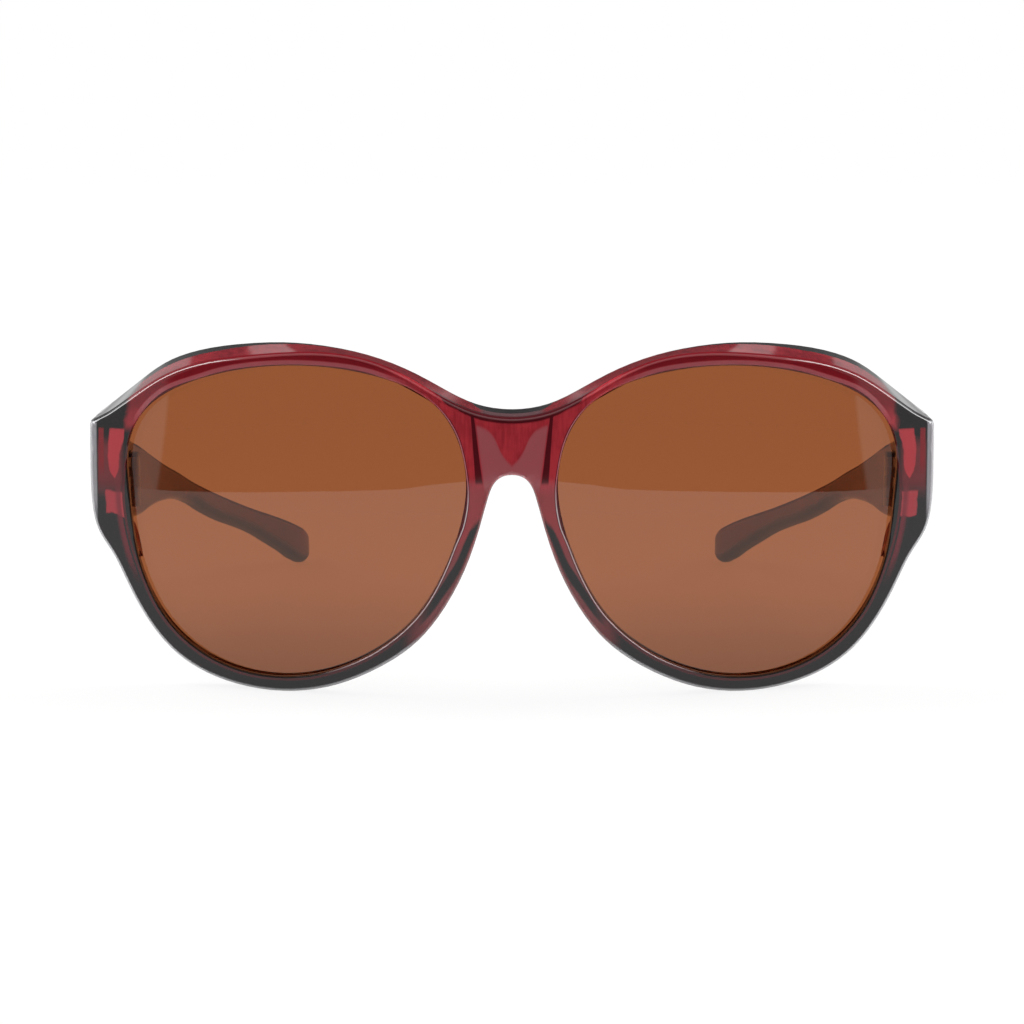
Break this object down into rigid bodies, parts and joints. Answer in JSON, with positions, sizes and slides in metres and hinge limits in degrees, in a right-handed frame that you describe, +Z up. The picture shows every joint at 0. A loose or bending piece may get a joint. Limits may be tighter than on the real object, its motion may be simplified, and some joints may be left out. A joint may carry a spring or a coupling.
{
  "type": "fitover sunglasses",
  "caption": "Fitover sunglasses with a rounded moulded front, brow hood and side returns, tinted lenses and hinged temples that narrow to a drooping tip.",
  "frame": {"origin": "under the middle of the open glasses, on the surface that they stand on: centre of the bounding box in X and Y, its bottom in Z", "axes": "+X to the wearer's left, +Y from the lenses back along the temples, +Z up; the lenses face -Y"},
  "size_m": [0.1456, 0.1411, 0.0589],
  "materials": {
    "frame": "polished translucent burgundy",
    "temple": "polished translucent burgundy",
    "lens": "polished brown tint",
    "hinge_metal": "satin",
    "screw_metal": "bright"
  },
  "bodies": {
    "front": {"front_frame": "frame", "left_lens": "lens", "right_lens": "lens", "left_front_hinge_leaf": "hinge_metal", "right_front_hinge_leaf": "hinge_metal", "left_hinge_screw": "screw_metal", "right_hinge_screw": "screw_metal", "left_front_leaf_screws": "screw_metal", "right_front_leaf_screws": "screw_metal"},
    "left_arm": {"left_temple": "temple", "left_temple_hinge_leaf": "hinge_metal", "left_temple_leaf_screws": "screw_metal"},
    "right_arm": {"right_temple": "temple", "right_temple_hinge_leaf": "hinge_metal", "right_temple_leaf_screws": "screw_metal"}
  },
  "joints": [
    {"name": "left_fold", "type": "hinge", "parent": "front", "child": "left_arm", "pos_m": [0.0668, -0.0415, 0.0334], "axis": [0, 0, 1], "range_deg": [0, 85]},
    {"name": "right_fold", "type": "hinge", "parent": "front", "child": "right_arm", "pos_m": [-0.0668, -0.0415, 0.0334], "axis": [0, 0, -1], "range_deg": [0, 79]}
  ]
}
